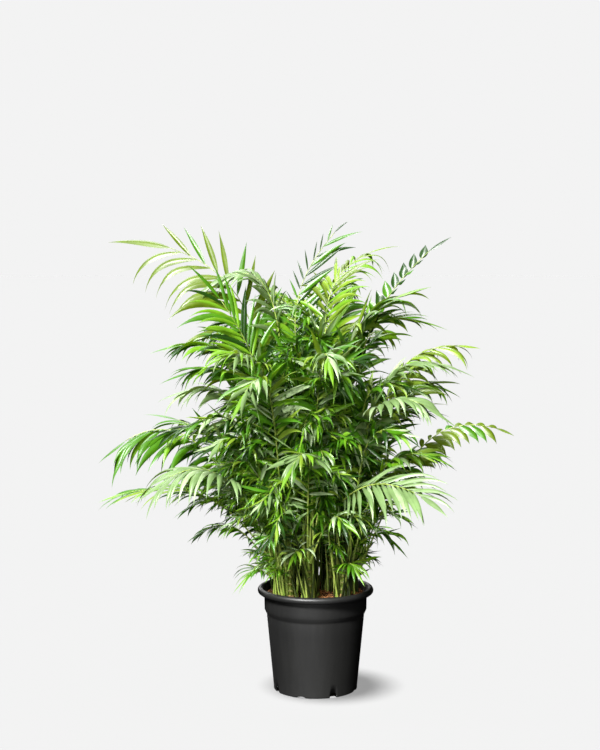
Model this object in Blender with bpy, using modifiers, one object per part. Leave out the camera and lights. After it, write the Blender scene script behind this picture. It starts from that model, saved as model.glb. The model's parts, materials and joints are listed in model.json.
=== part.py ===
"""Parlour palm in a round nursery pot.

A clump of young palms fills one pot: short canes stand on the potting mix, and each cane carries a few
arching fronds. Every frond is one thin solid: a petiole and rib, with blades cut apart down to the rib.

Metres and degrees, +Z up. The origin is the centre of the pot's flat underside. Azimuth 0 is +X and
azimuth 90 is +Y; the plant is seen from -Y.
"""

import math
import random
from collections import namedtuple

import bmesh
import bpy
from mathutils import Vector
from mathutils.bvhtree import BVHTree

SEAT_GAP = 0.0003  # between a piece and what carries it

# Pot
POT_HEIGHT = 0.1875
POT_STEPS = 32
FOOT_RADIUS = 0.0759
SHOULDER_Z = 0.139  # top of the tapered body, where the wall steps out to the neck
SHOULDER_RADIUS = 0.0882
NECK_Z = 0.1465
NECK_RADIUS = 0.0926
LIP_UNDER_Z = 0.1755
LIP_RADIUS = 0.105
LIP_MOUTH_RADIUS = 0.0955
WALL = 0.0018
FLOOR = 0.0025
ARCH_COUNT = 8  # drain arches in the foot, high and low by turns
ARCH_FIRST_AZIMUTH = -65.4
ARCH_HIGH = (0.0072, 0.0100)  # half width and height
ARCH_LOW = (0.0085, 0.0032)
ARCH_INNER_RADIUS = 0.058

# Potting mix
SOIL_Z = 0.1755
SOIL_GAP = 0.0004

# Canes: azimuth, distance from the pot's axis, height above the mix, lean outwards in degrees
Cane = namedtuple("Cane", "azimuth out height lean")
CANES = (
    Cane(-100, 0.064, 0.070, 4),
    Cane(-132, 0.066, 0.095, 6),
    Cane(-160, 0.064, 0.080, 8),
    Cane(168, 0.066, 0.090, 8),
    Cane(134, 0.062, 0.075, 7),
    Cane(100, 0.066, 0.095, 7),
    Cane(66, 0.062, 0.070, 7),
    Cane(32, 0.066, 0.090, 8),
    Cane(-4, 0.064, 0.075, 9),
    Cane(-38, 0.060, 0.060, 7),
    Cane(-105, 0.026, 0.130, 2),
    Cane(20, 0.026, 0.150, 3),
    Cane(145, 0.028, 0.140, 3),
)
CANE_FOOT_RADIUS = 0.0046
CANE_TOP_RADIUS = 0.0039
CANE_FLARE = 1.5  # how much wider the root flare is than the cane above it
CANE_FLARE_HEIGHT = 0.008
CANE_SIDES = 8
CANE_STATIONS = 2

# Fronds. The rib ends at a tip given by azimuth, reach from the pot's axis and height over the ground.
# droop is how far the tip points below the horizon, sweep turns the tip sideways, and roll turns the
# blade round its rib. leaf is the longest leaflet.
Frond = namedtuple("Frond", "cane azimuth reach height droop sweep roll leaf")
FRONDS = (
    # left side, from the top down
    Frond(4, 155, 0.300, 0.800, -16, 0, -45, 0.145),
    Frond(2, 195, 0.175, 0.710, -55, 0, -70, 0.095),
    Frond(12, 165, 0.190, 0.738, 28, 0, -15, 0.110),
    Frond(3, 190, 0.238, 0.630, 5, 0, 0, 0.105),
    Frond(3, 196, 0.222, 0.585, 10, 0, 0, 0.110),
    Frond(4, 166, 0.240, 0.540, 12, 0, 0, 0.110),
    Frond(3, 179, 0.344, 0.452, 32, 0, 0, 0.125),
    Frond(2, 187, 0.336, 0.366, 8, 0, 0, 0.100),
    Frond(2, 207, 0.285, 0.405, 24, 0, 0, 0.125),
    Frond(2, 195, 0.205, 0.300, 25, 0, 0, 0.066),
    # top
    Frond(10, 62, 0.075, 0.828, -48, -50, 25, 0.092),
    Frond(11, 38, 0.122, 0.790, -20, 0, 0, 0.090),
    Frond(11, 8, 0.208, 0.795, -42, 0, 30, 0.058),
    Frond(10, -130, 0.050, 0.700, -30, 0, 0, 0.120),
    # right side, from the top down
    Frond(8, -12, 0.145, 0.712, -28, 0, 0, 0.112),
    Frond(7, 11, 0.166, 0.672, 5, 0, 0, 0.105),
    Frond(8, 2, 0.256, 0.625, -2, 0, 15, 0.095),
    Frond(9, -16, 0.230, 0.595, 10, 0, 0, 0.078),
    Frond(7, 10, 0.190, 0.515, -10, 0, 0, 0.085),
    Frond(8, -4, 0.325, 0.478, 14, 0, 50, 0.050),
    Frond(9, -20, 0.210, 0.435, 12, 0, 0, 0.080),
    Frond(8, 15, 0.185, 0.360, 15, 0, 0, 0.080),
    # towards the viewer
    Frond(10, -50, 0.272, 0.385, 14, 0, 35, 0.112),
    Frond(11, -33, 0.220, 0.530, 20, 0, 0, 0.115),
    Frond(1, -118, 0.255, 0.560, 38, 0, 0, 0.110),
    Frond(0, -100, 0.230, 0.440, 36, -20, 0, 0.095),
    Frond(1, -128, 0.250, 0.620, 10, 0, 0, 0.115),
    Frond(0, -84, 0.195, 0.610, 24, 0, 0, 0.115),
    # low and small, over the rim
    Frond(2, -158, 0.126, 0.222, 40, 0, 0, 0.052),
    Frond(9, -55, 0.115, 0.242, 35, 0, 0, 0.055),
    Frond(9, -15, 0.115, 0.300, 10, 0, 0, 0.060),
    Frond(0, -108, 0.125, 0.270, 25, 0, 0, 0.065),
    # away from the viewer
    Frond(4, 130, 0.300, 0.640, 5, 0, 0, 0.125),
    Frond(4, 150, 0.300, 0.475, -15, 0, 0, 0.120),
    Frond(5, 105, 0.280, 0.700, -10, 0, 0, 0.120),
    Frond(5, 92, 0.310, 0.520, 18, 0, 0, 0.125),
    Frond(5, 112, 0.320, 0.380, 26, 0, 0, 0.115),
    Frond(6, 62, 0.285, 0.640, 0, 0, 0, 0.120),
    Frond(6, 74, 0.300, 0.420, 26, 0, 0, 0.115),
    Frond(7, 38, 0.285, 0.540, 12, 0, 0, 0.120),
    Frond(7, 32, 0.260, 0.410, 22, 0, 0, 0.105),
    Frond(12, 120, 0.150, 0.720, -20, 0, 0, 0.115),
    Frond(11, 70, 0.170, 0.740, -15, 0, 0, 0.115),
    Frond(12, 145, 0.200, 0.665, -5, 0, 0, 0.115),
    Frond(4, 165, 0.230, 0.330, 28, 0, 0, 0.080),
)
# Fronds that branch off another's petiole just above its foot, by that frond's number
TWINS = {
    1: Frond(4, 172, 0.190, 0.640, 10, 0, 20, 0.100),
    2: Frond(2, 212, 0.170, 0.395, 20, 0, 0, 0.095),
    3: Frond(12, -178, 0.160, 0.520, 18, 0, 0, 0.095),
    4: Frond(3, 205, 0.225, 0.500, 15, 0, 0, 0.110),
    5: Frond(3, 218, 0.215, 0.465, 22, 0, 0, 0.105),
    6: Frond(4, 158, 0.210, 0.385, 15, 0, 0, 0.090),
    7: Frond(3, 194, 0.255, 0.480, 12, 0, 0, 0.110),
    8: Frond(2, 176, 0.225, 0.365, 18, 0, 0, 0.090),
    9: Frond(2, 232, 0.148, 0.290, 30, 0, 0, 0.068),
    11: Frond(10, -120, 0.120, 0.400, 25, 0, 0, 0.080),
    12: Frond(11, -70, 0.120, 0.560, 15, 0, 0, 0.095),
    13: Frond(11, -30, 0.110, 0.430, 22, 0, 0, 0.085),
    14: Frond(10, -82, 0.125, 0.370, 28, 0, 0, 0.080),
    15: Frond(8, -25, 0.170, 0.560, 12, 0, 0, 0.095),
    16: Frond(7, 40, 0.160, 0.430, 20, 0, 0, 0.085),
    17: Frond(8, 20, 0.215, 0.500, 5, 0, 0, 0.090),
    18: Frond(9, -40, 0.190, 0.480, 18, 0, 0, 0.090),
    20: Frond(8, -16, 0.150, 0.325, 22, 0, 0, 0.075),
    21: Frond(9, -62, 0.155, 0.330, 30, 0, 0, 0.075),
    22: Frond(8, -8, 0.165, 0.400, 15, 0, 0, 0.080),
    23: Frond(11, -82, 0.100, 0.395, 25, 0, 0, 0.080),
    24: Frond(11, -100, 0.110, 0.470, 22, 0, 0, 0.085),
    25: Frond(1, -145, 0.190, 0.420, 25, 0, 0, 0.090),
    26: Frond(0, -75, 0.175, 0.330, 35, 0, 0, 0.080),
    27: Frond(1, -112, 0.185, 0.330, 35, 0, 0, 0.080),
    28: Frond(0, -120, 0.165, 0.300, 35, 0, 0, 0.075),
    33: Frond(4, 118, 0.200, 0.420, 20, 0, 0, 0.095),
    35: Frond(5, 84, 0.190, 0.440, 20, 0, 0, 0.095),
    38: Frond(6, 48, 0.200, 0.460, 18, 0, 0, 0.095),
    40: Frond(7, 52, 0.190, 0.330, 28, 0, 0, 0.080),
}
PETIOLE_SHARE = 0.30  # of the frond's length that is bare
PETIOLE_SEGMENTS = 5
RIB_HALF_WIDTH = (0.0017, 0.0011)  # at the foot and at the tip
RIB_HALF_DEPTH = (0.0017, 0.0011)
RIB_HANDLES = (0.54, 0.40)  # of the chord, from the foot and from the tip
RIB_STEPS = 20  # that its length is measured in
UPRIGHT = 0.02  # a tip less far out than this from its foot gives no direction of its own
LEAN_SHARE = 0.5  # of the angle from the cane to the frond's tip that its petiole starts off with
SHEATH_STEP = 0.013  # from one frond's foot on a cane to the next
FORK_HEIGHT = 0.010  # from a frond's foot to where a twin branches off, along the petiole
FORK_HALF = 0.0025  # half the length of petiole that it branches from
FORK_OUT = 0.0045  # from the petiole's middle to the twin's first ring

# Leaflets
LEAF_PAIRS_PER_METRE = 26
LEAF_PAIRS_LEAST = 3
LEAF_FIRST_STEP = 0.3  # from the bare petiole to the first pair, in steps between pairs
LEAF_LAST = 0.985  # of the rib's length, past the last pair
LEAF_ANGLE = (62, 26)  # off the rib, at the blade's foot and at its tip
LEAF_SAG = 1.1  # how much a leaflet's outer half turns down, on a level rib
LEAF_SLENDER = 0.19  # width over length, wider than life because the leaflets are fewer
LEAF_RIDGE = 0.0018  # its thickness along the middle, over its edges
LEAF_ROOT = 0.0046  # along the rib
LEAF_BROADEST = 0.45  # of the leaflet's length
LEAF_FULLEST = 0.40  # where along the blade the longest leaflets are
LEAF_TAPER = 0.35  # how much shorter the leaflets at either end of the blade are
LENGTH_VARIES = (0.92, 1.06)
SAG_VARIES = (0.7, 1.3)
LEAF_AIR = 0.0012  # kept between a leaflet and everything else
LEAF_START = 0.04  # of its inner half, which is left out of that where it leaves the rib
TWIN_SEED = 100
LEAF_TRIES = ((1.0, 0), (1.0, 16), (1.0, -16), (0.8, 0), (0.8, 26), (0.8, -26), (0.6, 0), (0.6, 30))

GREEN = (0.10, 0.30, 0.04)
CANE_GREEN = (0.24, 0.36, 0.08)
BLACK = (0.03, 0.03, 0.03)
BROWN = (0.16, 0.08, 0.035)


def empty_scene():
    for obj in list(bpy.data.objects):
        bpy.data.objects.remove(obj)


def new_collection(name, shown=True):
    collection = bpy.data.collections.new(name)
    collection.hide_render = not shown
    bpy.context.scene.collection.children.link(collection)
    return collection


def material(name, colour, roughness):
    made = bpy.data.materials.new(name)
    made.use_nodes = True
    shader = made.node_tree.nodes["Principled BSDF"]
    shader.inputs["Base Color"].default_value = (*colour, 1)
    shader.inputs["Roughness"].default_value = roughness
    shader.inputs["Metallic"].default_value = 0
    return made


def add_object(name, mesh, collection, surface):
    mesh.materials.append(surface)
    obj = bpy.data.objects.new(name, mesh)
    collection.objects.link(obj)
    return obj


def mesh_from(bm, name):
    bm.normal_update()
    bmesh.ops.recalc_face_normals(bm, faces=bm.faces)
    mesh = bpy.data.meshes.new(name)
    bm.to_mesh(mesh)
    bm.free()
    return mesh


def heading(azimuth):
    """The level unit vector at an azimuth."""
    return Vector((math.cos(math.radians(azimuth)), math.sin(math.radians(azimuth)), 0))


def mix(ends, share):
    return ends[0] + (ends[1] - ends[0]) * share


def arc(centre, radii, start, end, count):
    """Points on an ellipse's arc in the profile plane, from one angle in degrees to another."""
    angles = [math.radians(start + (end - start) * i / (count - 1)) for i in range(count)]
    return [(centre[0] + radii[0] * math.cos(a), centre[1] + radii[1] * math.sin(a)) for a in angles]


def turned(name, profile, collection, surface):
    """A profile of (radius, height) points, from the top down its outer side, turned about Z."""
    mesh = bpy.data.meshes.new(name)
    points = [(radius, 0, z) for radius, z in profile]
    mesh.from_pydata(points, [(i, i + 1) for i in range(len(points) - 1)], [])
    obj = add_object(name, mesh, collection, surface)
    screw = obj.modifiers.new("Turn", "SCREW")
    screw.steps = screw.render_steps = POT_STEPS
    screw.use_merge_vertices = True
    screw.merge_threshold = 0.0001
    return obj


def inner_radius(z):
    """The pot's inner wall at a height, below the lip."""
    if z < SHOULDER_Z:
        return mix((FOOT_RADIUS, SHOULDER_RADIUS), z / SHOULDER_Z) - WALL
    if z < NECK_Z:
        return mix((SHOULDER_RADIUS, NECK_RADIUS), (z - SHOULDER_Z) / (NECK_Z - SHOULDER_Z)) - WALL
    return NECK_RADIUS - WALL


def pot_profile():
    lip_middle = (LIP_UNDER_Z + POT_HEIGHT) / 2
    lip_half = (POT_HEIGHT - LIP_UNDER_Z) / 2
    outside = [
        (LIP_MOUTH_RADIUS + 0.0015, POT_HEIGHT - 0.0004),
        *arc((LIP_RADIUS - lip_half, lip_middle), (lip_half, lip_half), 90, -60, 6),
        (NECK_RADIUS + 0.0006, LIP_UNDER_Z),
        (NECK_RADIUS, NECK_Z),
        (SHOULDER_RADIUS, SHOULDER_Z),
        (FOOT_RADIUS, 0.004),
        (FOOT_RADIUS - 0.0025, 0),
        (0, 0),
    ]
    inside = [
        (0, FLOOR),
        (inner_radius(FLOOR), FLOOR),
        (inner_radius(SHOULDER_Z), SHOULDER_Z),
        (inner_radius(NECK_Z), NECK_Z),
        (NECK_RADIUS - WALL, LIP_UNDER_Z + 0.001),
        (LIP_MOUTH_RADIUS - 0.0012, POT_HEIGHT - 0.004),
    ]
    return inside, outside


def arch_cutter(name, azimuth, half_width, height, collection):
    """A lying cylinder, flattened to the arch's height, that cuts the wall's foot and the floor's edge."""
    bm = bmesh.new()
    length = LIP_RADIUS - ARCH_INNER_RADIUS
    bmesh.ops.create_cone(bm, cap_ends=True, segments=16, radius1=1, radius2=1, depth=length)
    out = heading(azimuth)
    across = heading(azimuth + 90)
    for vert in bm.verts:
        along = vert.co.z + ARCH_INNER_RADIUS + length / 2
        vert.co = out * along + across * (vert.co.x * half_width) + Vector((0, 0, vert.co.y * height))
    cutter = bpy.data.objects.new(name, mesh_from(bm, name))
    cutter.hide_render = True
    cutter.display_type = "WIRE"
    collection.objects.link(cutter)


def build_pot(collection, cutters, surface):
    inside, outside = pot_profile()
    pot = turned("pot", outside + inside + [outside[0]], collection, surface)
    for i in range(ARCH_COUNT):
        half_width, height = ARCH_LOW if i % 2 else ARCH_HIGH
        azimuth = ARCH_FIRST_AZIMUTH + i * 360 / ARCH_COUNT
        arch_cutter(f"arch_{i + 1}", azimuth, half_width, height, cutters)
    cut = pot.modifiers.new("Drain arches", "BOOLEAN")
    cut.operation = "DIFFERENCE"
    cut.operand_type = "COLLECTION"
    cut.collection = cutters
    return pot


def build_mix(collection, surface):
    """The potting mix fills the pot to just under its lip."""
    low = FLOOR + SEAT_GAP
    profile = [
        (0, SOIL_Z),
        (inner_radius(SOIL_Z) - SOIL_GAP, SOIL_Z),
        (inner_radius(NECK_Z) - SOIL_GAP, NECK_Z),
        (inner_radius(SHOULDER_Z) - SOIL_GAP, SHOULDER_Z),
        (inner_radius(low) - SOIL_GAP, low),
        (0, low),
    ]
    return turned("potting_mix", profile, collection, surface)


class Skin:
    """Points and faces of one closed solid, gathered ring by ring."""

    def __init__(self):
        self.points, self.faces = [], []

    def ring(self, places):
        first = len(self.points)
        self.points += places
        return list(range(first, len(self.points)))

    def join(self, low, high, sides=None):
        """Faces between two rings, all round or only on the sides named."""
        count = len(low)
        for k in range(count) if sides is None else sides:
            after = (k + 1) % count
            self.faces.append((low[k], low[after], high[after], high[k]))

    def point(self, ring, place):
        tip = self.ring([place])[0]
        self.faces += [(ring[k], ring[(k + 1) % len(ring)], tip) for k in range(len(ring))]

    def leaflet(self, root, leaflet):
        """A leaflet out of a stretch of the rib's side: its root's edge and ridge behind, then ahead."""
        behind, ridge_behind, ridge_ahead, ahead = root
        near, ridge, far = self.ring(leaflet.section())
        self.faces += [(behind, ahead, far, near), (behind, near, ridge_behind), (ahead, ridge_ahead, far)]
        self.faces += [(ridge_behind, near, ridge), (ridge_ahead, ridge, far)]
        self.faces.append((ridge_behind, ridge, ridge_ahead))
        self.point([near, ridge, far], leaflet.tip)

    def fork(self, root, ring, hand):
        """A twin's first ring joined to a stretch of its neighbour's side."""
        behind, ridge_behind, ridge_ahead, ahead = root
        left, right, ridge = ring if hand > 0 else (ring[1], ring[0], ring[2])
        self.faces += [(behind, ridge_behind, left, right), (ridge_behind, ridge_ahead, ridge, left)]
        self.faces += [(behind, ahead, ridge, right), (ridge_ahead, ahead, ridge)]

    def mesh(self, name):
        bm = bmesh.new()
        verts = [bm.verts.new(p) for p in self.points]
        for face in self.faces:
            bm.faces.new([verts[i] for i in face])
        return mesh_from(bm, name)


def cane_centre(cane, height):
    """The middle of a cane at a height above the mix."""
    outwards = cane.out + math.tan(math.radians(cane.lean)) * height
    return heading(cane.azimuth) * outwards + Vector((0, 0, SOIL_Z + SEAT_GAP + height))


def cane_radius(cane, height):
    return mix((CANE_FOOT_RADIUS, CANE_TOP_RADIUS), height / cane.height)


def build_cane(name, cane, collection, surface):
    """A tapering cane on a flared foot, leaning outwards to its flat top."""
    skin = Skin()
    rings = []
    turns = [heading(cane.azimuth + k * 360 / CANE_SIDES) for k in range(CANE_SIDES)]
    heights = [0, CANE_FLARE_HEIGHT] + [cane.height * i / CANE_STATIONS for i in range(1, CANE_STATIONS + 1)]
    for height in heights:
        radius = cane_radius(cane, height) * (1 if height else CANE_FLARE)
        rings.append(skin.ring([cane_centre(cane, height) + turn * radius for turn in turns]))
    for low, high in zip(rings, rings[1:]):
        skin.join(low, high)
    skin.faces += [tuple(rings[0]), tuple(rings[-1])]
    return add_object(name, skin.mesh(name), collection, surface)


def frond_tip(frond):
    return heading(frond.azimuth) * frond.reach + Vector((0, 0, frond.height))


def spread(frond):
    """How far a frond's tip is from straight above the top of its cane, as an angle in radians."""
    cane = CANES[frond.cane]
    return (frond_tip(frond) - cane_centre(cane, cane.height)).angle(Vector((0, 0, 1)))


def frond_foot(frond):
    """The youngest and most upright frond stands on its cane's top, the others lower down its sides."""
    cane = CANES[frond.cane]
    rank = sorted(spread(f) for f in FRONDS if f.cane == frond.cane).index(spread(frond))
    height = cane.height - rank * SHEATH_STEP
    lean = spread(frond) * LEAN_SHARE
    if rank == 0:
        return cane_centre(cane, height) + Vector((0, 0, SEAT_GAP + RIB_HALF_DEPTH[0] * math.sin(lean)))
    level = (frond_tip(frond) - cane_centre(cane, height)) * Vector((1, 1, 0))
    clear = cane_radius(cane, height) + SEAT_GAP + RIB_HALF_DEPTH[0] * math.cos(lean)
    return cane_centre(cane, height) + level.normalized() * clear


class Rib:
    """A frond's curved line, with its sideways and upwards directions."""

    def __init__(self, frond, parent=None):
        self.frond = frond
        self.twin = None
        self.foot = foot = parent.fork(frond) if parent else frond_foot(frond)
        self.hand = parent.fork_hand if parent else 0
        self.tip = frond_tip(frond)
        level = (self.tip - foot) * Vector((1, 1, 0))
        level = level.normalized() if level.length > UPRIGHT else heading(frond.azimuth)
        chord = (self.tip - foot).length
        lean, droop = spread(frond) * LEAN_SHARE, math.radians(frond.droop)
        start = level * math.sin(lean) + Vector((0, 0, math.cos(lean)))
        end = heading(frond.azimuth + frond.sweep) * math.cos(droop) - Vector((0, 0, math.sin(droop)))
        self.near = foot + start * chord * RIB_HANDLES[0]
        self.far = self.tip - end * chord * RIB_HANDLES[1]
        self.level = level
        steps = [self.point(i / RIB_STEPS) for i in range(RIB_STEPS + 1)]
        self.length = sum((b - a).length for a, b in zip(steps, steps[1:]))

    def fork(self, frond):
        """The foot of a twin, on the side of this petiole that its tip is on."""
        t = FORK_HEIGHT / self.length
        _, side, _ = self.axes(t)
        self.fork_hand = 1 if (frond_tip(frond) - self.foot).dot(side) > 0 else -1
        return self.point(t) + side * self.fork_hand * FORK_OUT

    def point(self, t):
        a, b, c, d = self.foot, self.near, self.far, self.tip
        u = 1 - t
        return a * u**3 + b * (3 * u * u * t) + c * (3 * u * t * t) + d * t**3

    def axes(self, t):
        """Tangent, side and upper normal, with the frond's roll wound in over the bare petiole."""
        a, b, c, d = self.foot, self.near, self.far, self.tip
        u = 1 - t
        tangent = ((b - a) * (u * u) + (c - b) * (2 * u * t) + (d - c) * (t * t)).normalized()
        across = Vector((-self.level.y, self.level.x, 0))
        side = (across - tangent * across.dot(tangent)).normalized()
        normal = tangent.cross(side)
        turn = math.radians(self.frond.roll) * min(1, t / PETIOLE_SHARE)
        return (
            tangent,
            side * math.cos(turn) + normal * math.sin(turn),
            normal * math.cos(turn) - side * math.sin(turn),
        )

    def section(self, t):
        """The rib's corners: one on each hand and the ridge on top."""
        tangent, side, normal = self.axes(t)
        centre = self.point(t)
        wide = side * mix(RIB_HALF_WIDTH, t)
        deep = normal * mix(RIB_HALF_DEPTH, t)
        return [centre + wide - deep, centre - wide - deep, centre + deep]


def leaf_share(along):
    """A leaflet's length as a share of the frond's longest, by its place along the blade."""
    if along < LEAF_FULLEST:
        return 1 - LEAF_TAPER * (1 - along / LEAF_FULLEST) ** 2
    return 1 - LEAF_TAPER * ((along - LEAF_FULLEST) / (1 - LEAF_FULLEST)) ** 2


class Leaflet:
    """A blade that springs from one side of the rib, is broadest near its middle and hangs to a point."""

    def __init__(self, rib, t, along, hand, length, turn, sag):
        tangent, side, normal = rib.axes(t)
        angle = math.radians(mix(LEAF_ANGLE, along))
        lift = math.radians(turn)
        out = side * hand * math.cos(lift) + normal * math.sin(lift)
        ahead = tangent * math.cos(angle) + out * math.sin(angle)
        level = math.sqrt(1 - tangent.z**2)
        outer = (ahead - Vector((0, 0, sag * level))).normalized()
        root = rib.point(t) + side * hand * mix(RIB_HALF_WIDTH, t)
        self.middle = root + ahead * length * LEAF_BROADEST
        self.tip = self.middle + outer * length * (1 - LEAF_BROADEST)
        across = (tangent - ahead * tangent.dot(ahead)).normalized()
        self.half = across * length * LEAF_SLENDER / 2
        self.ridge = ahead.cross(across).normalized() * LEAF_RIDGE * -hand
        self.root, self.root_half = root, tangent * LEAF_ROOT / 2

    def section(self):
        """The broadest section: its edge behind, its ridge and its edge ahead."""
        return [self.middle - self.half, self.middle + self.ridge, self.middle + self.half]

    def shell(self):
        """A slightly larger blade, to try against what is there already, clear of its own rib."""
        half = self.half + self.half.normalized() * LEAF_AIR
        over = self.ridge + self.ridge.normalized() * LEAF_AIR
        under = -self.ridge.normalized() * LEAF_AIR
        start = self.root.lerp(self.middle, LEAF_START)
        root_half = self.root_half.lerp(half, LEAF_START)
        tip = self.tip + (self.tip - self.middle).normalized() * LEAF_AIR
        points = []
        for centre, wide in ((start, root_half), (self.middle, half)):
            points += [centre - wide + under, centre - wide + over]
            points += [centre + wide + over, centre + wide + under]
        faces = [(0, 1, 5, 4), (1, 2, 6, 5), (2, 3, 7, 6), (3, 0, 4, 7), (0, 3, 2, 1)]
        faces += [(4, 5, 8), (5, 6, 8), (6, 7, 8), (7, 4, 8)]
        return Shape([*points, tip], faces)


class Shape:
    """A surface that can be tried against others, with its box to rule most of them out quickly."""

    def __init__(self, points, faces):
        self.tree = BVHTree.FromPolygons(points, faces)
        self.low = [min(p[axis] for p in points) for axis in range(3)]
        self.high = [max(p[axis] for p in points) for axis in range(3)]

    def meets(self, other):
        apart = any(self.low[a] > other.high[a] or other.low[a] > self.high[a] for a in range(3))
        return not apart and bool(self.tree.overlap(other.tree))


def shape_of(obj):
    """An object's evaluated surface."""
    graph = bpy.context.evaluated_depsgraph_get()
    mesh = obj.evaluated_get(graph).to_mesh()
    return Shape([v.co.copy() for v in mesh.vertices], [tuple(p.vertices) for p in mesh.polygons])


def rib_shape(rib):
    """The bare rib, for other fronds' leaflets to keep clear of."""
    skin = Skin()
    petiole, blade = rib_rings(rib)
    middle, tip = end_leaflet(rib)
    rings = [skin.ring(rib.section(t)) for t in petiole + blade] + [skin.ring(middle)]
    for low, high in zip(rings, rings[1:]):
        skin.join(low, high)
    skin.point(rings[-1], tip)
    return Shape(skin.points, skin.faces)


def rib_rings(rib):
    """Where the rib's rings are: along the bare petiole, then before and behind each pair of leaflets."""
    half_root = LEAF_ROOT / 2 / rib.length
    stations = leaf_stations(rib)
    bare = stations[0][0] - half_root
    petiole = [bare * i / PETIOLE_SEGMENTS for i in range(PETIOLE_SEGMENTS)]
    if rib.twin:
        petiole[1:1] = [(FORK_HEIGHT - FORK_HALF) / rib.length, (FORK_HEIGHT + FORK_HALF) / rib.length]
    return petiole, [t + step for t, _ in stations for step in (-half_root, half_root)]


def leaf_stations(rib):
    """Where along the rib each pair of leaflets springs, and each one's share of the blade."""
    blade = rib.length * (1 - PETIOLE_SHARE)
    pairs = max(LEAF_PAIRS_LEAST, round(blade * LEAF_PAIRS_PER_METRE))
    ends = (PETIOLE_SHARE, LEAF_LAST)
    return [(mix(ends, (i + LEAF_FIRST_STEP) / pairs), i / (pairs - 1)) for i in range(pairs)]


def fitting_leaflets(number, rib, obstacles):
    """The leaflets that find room, keyed by station and hand; each tries a few turns and lengths."""
    chance = random.Random(number)
    kept, shapes = {}, []
    for order, (t, along) in enumerate(leaf_stations(rib)):
        for hand in (1, -1):
            length = rib.frond.leaf * leaf_share(along) * chance.uniform(*LENGTH_VARIES)
            sag = LEAF_SAG * chance.uniform(*SAG_VARIES)
            for scale, turn in LEAF_TRIES:
                leaflet = Leaflet(rib, t, along, hand, length * scale, turn, sag)
                shell = leaflet.shell()
                if not any(shell.meets(other) for other in obstacles + shapes):
                    kept[order, hand] = leaflet
                    shapes.append(shell)
                    break
    return kept, shapes


def add_frond(skin, rib, leaflets, fork=None):
    """The rib ring by ring, with each kept leaflet springing from its own stretch of the rib's side."""
    petiole, blade = rib_rings(rib)
    rings = [skin.ring(rib.section(t)) for t in petiole + blade]
    if fork:
        skin.fork(fork, rings[0], rib.hand)
    else:
        skin.faces.append(tuple(rings[0]))
    open_side = None
    for i, (low, high) in enumerate(zip(rings, rings[1:])):
        order, between = divmod(i - len(petiole), 2)
        if rib.twin and i == 1:
            edge = 0 if rib.fork_hand > 0 else 1
            open_side = [low[edge], low[2], high[2], high[edge]]
            skin.join(low, high, sides=(0, 1 if edge == 0 else 2))
        elif order < 0 or between:
            skin.join(low, high)
        else:
            skin.join(low, high, sides=(0,))
            for hand, edge in ((1, 0), (-1, 1)):
                root = [low[edge], low[2], high[2], high[edge]]
                if (order, hand) in leaflets:
                    skin.leaflet(root, leaflets[order, hand])
                else:
                    skin.faces.append(tuple(root))
    middle, tip = end_leaflet(rib)
    end = skin.ring(middle)
    skin.join(rings[-1], end)
    skin.point(end, tip)
    return open_side


def build_frond(name, number, rib, obstacles, collection, surface):
    """A frond, with the twin that branches off it where there is one; returns its leaflets' shells."""
    skin = Skin()
    obstacles = obstacles + [rib_shape(part) for part in (rib, rib.twin) if part]
    leaflets, shapes = fitting_leaflets(number, rib, obstacles)
    fork = add_frond(skin, rib, leaflets)
    if rib.twin:
        leaflets, more = fitting_leaflets(number + TWIN_SEED, rib.twin, obstacles + shapes)
        add_frond(skin, rib.twin, leaflets, fork)
        shapes += more
    add_object(name, skin.mesh(name), collection, surface)
    return shapes


def end_leaflet(rib):
    """The rib runs out into one narrow leaflet: its broadest section and its tip."""
    tangent, side, normal = rib.axes(1)
    length = rib.frond.leaf * leaf_share(1)
    middle = rib.tip + tangent * length * LEAF_BROADEST
    outer = (tangent - Vector((0, 0, LEAF_SAG / 3))).normalized()
    wide = side * length * LEAF_SLENDER / 2
    tip = middle + outer * length * (1 - LEAF_BROADEST)
    return [middle + wide, middle - wide, middle + normal * LEAF_RIDGE], tip


def main():
    empty_scene()
    plant = new_collection("parlour_palm")
    cutters = new_collection("cutters", shown=False)
    leaf_green = material("leaf green", GREEN, 0.5)
    cane_green = material("cane green", CANE_GREEN, 0.6)
    pot = build_pot(plant, cutters, material("black plastic", BLACK, 0.55))
    soil = build_mix(plant, material("potting mix", BROWN, 0.95))
    canes = [build_cane(f"cane_{i + 1:02d}", c, plant, cane_green) for i, c in enumerate(CANES)]
    ribs = [Rib(frond) for frond in FRONDS]
    for number, frond in TWINS.items():
        ribs[number - 1].twin = Rib(frond, ribs[number - 1])
    rib_shapes = {rib: [rib_shape(part) for part in (rib, rib.twin) if part] for rib in ribs}
    bpy.context.view_layer.update()
    fixed = [shape_of(obj) for obj in (pot, soil, *canes)]
    placed = []
    for i, rib in enumerate(ribs):
        others = [shape for other in ribs if other is not rib for shape in rib_shapes[other]]
        name = f"frond_{i + 1:02d}"
        placed += build_frond(name, i, rib, fixed + others + placed, plant, leaf_green)


main()
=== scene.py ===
"""Looks for the parlour palm in its pot: fine fronds, ringed canes, moulded pot, coir mix and soft light."""

import json
import math
import random
from collections import namedtuple

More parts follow.
